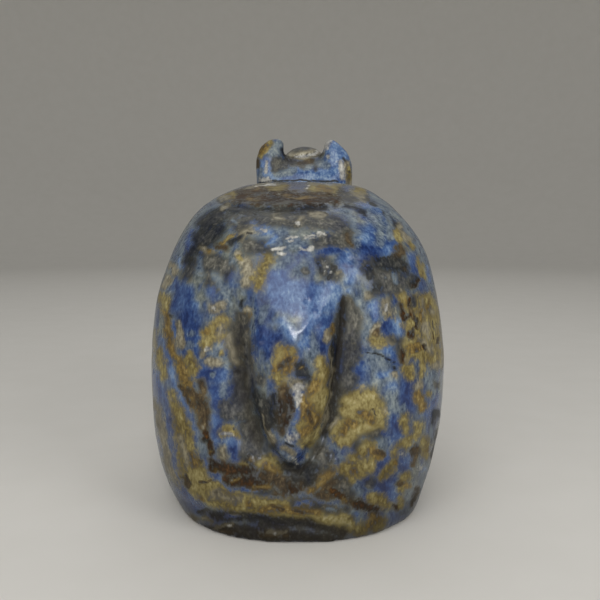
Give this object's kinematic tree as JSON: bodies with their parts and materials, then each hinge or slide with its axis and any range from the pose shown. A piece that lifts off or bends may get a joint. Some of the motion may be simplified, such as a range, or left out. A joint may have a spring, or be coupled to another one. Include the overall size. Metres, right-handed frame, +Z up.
{
  "type": "stone conopa",
  "caption": "Small standing alpaca carved from one block of polished blue and ochre stone, with a round offering cavity in its back.",
  "frame": {"origin": "middle of the figure's length and width, at the level of its feet", "axes": "+Z up, +Y the way the animal faces, +X to the animal's right"},
  "size_m": [0.0654, 0.1068, 0.0858],
  "materials": {
    "stone": "hand-polished sodalite, blue with ochre, rust-brown and grey-black veins and patches"
  },
  "bodies": {
    "root": {"conopa": "stone"}
  },
  "joints": []
}
